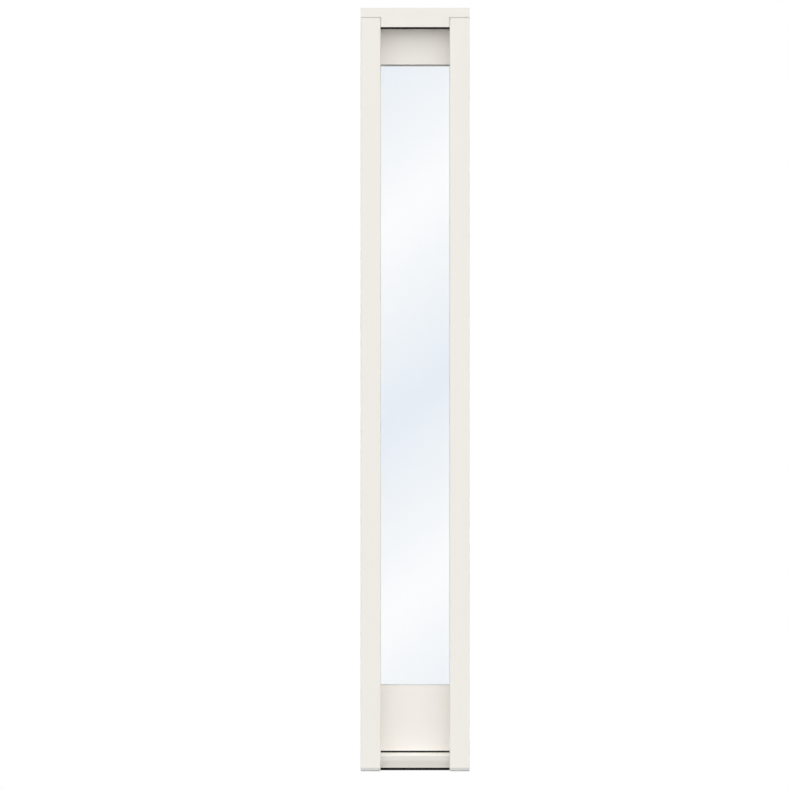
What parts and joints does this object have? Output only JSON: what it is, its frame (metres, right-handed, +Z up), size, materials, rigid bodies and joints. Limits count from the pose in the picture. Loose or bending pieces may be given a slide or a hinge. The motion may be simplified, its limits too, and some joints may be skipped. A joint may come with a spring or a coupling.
{
  "type": "sidelight window",
  "caption": "Narrow fixed sidelight: painted timber frame with lapped head, deep set rails, threshold on feet and one tall glazed pane.",
  "frame": {"origin": "on the floor under the middle of the frame, midway between its outside and room faces", "axes": "+Z up along the jambs, -Y towards the outside, +X to the right seen from outside"},
  "size_m": [0.3, 0.115, 2.1],
  "materials": {
    "frame_paint": "satin",
    "threshold_paint": "satin",
    "foot_plastic": "matte",
    "seal_rubber": "matte",
    "clear_glass": "polished",
    "spacer_bar": "matte",
    "edge_sealant": "matte",
    "glazing_rubber": "matte",
    "glazing_tape": "matte",
    "block_plastic": "matte"
  },
  "bodies": {
    "root": {"frame_head": "frame_paint", "left_jamb": "frame_paint", "right_jamb": "frame_paint", "threshold": "threshold_paint", "left_jamb_foot": "foot_plastic", "right_jamb_foot": "foot_plastic", "base_seal": "seal_rubber", "top_rail": "frame_paint", "bottom_rail": "frame_paint", "head_seal": "seal_rubber", "threshold_seal": "seal_rubber", "outer_pane": "clear_glass", "middle_pane": "clear_glass", "inner_pane": "clear_glass", "outer_spacer": "spacer_bar", "inner_spacer": "spacer_bar", "outer_edge_seal": "edge_sealant", "inner_edge_seal": "edge_sealant", "left_outer_gasket": "glazing_rubber", "right_outer_gasket": "glazing_rubber", "top_outer_gasket": "glazing_rubber", "bottom_outer_gasket": "glazing_rubber", "left_glazing_tape": "glazing_tape", "right_glazing_tape": "glazing_tape", "top_glazing_tape": "glazing_tape", "bottom_glazing_tape": "glazing_tape", "left_bead": "frame_paint", "right_bead": "frame_paint", "top_bead": "frame_paint", "bottom_bead": "frame_paint", "left_setting_block": "block_plastic", "right_setting_block": "block_plastic"}
  },
  "joints": []
}
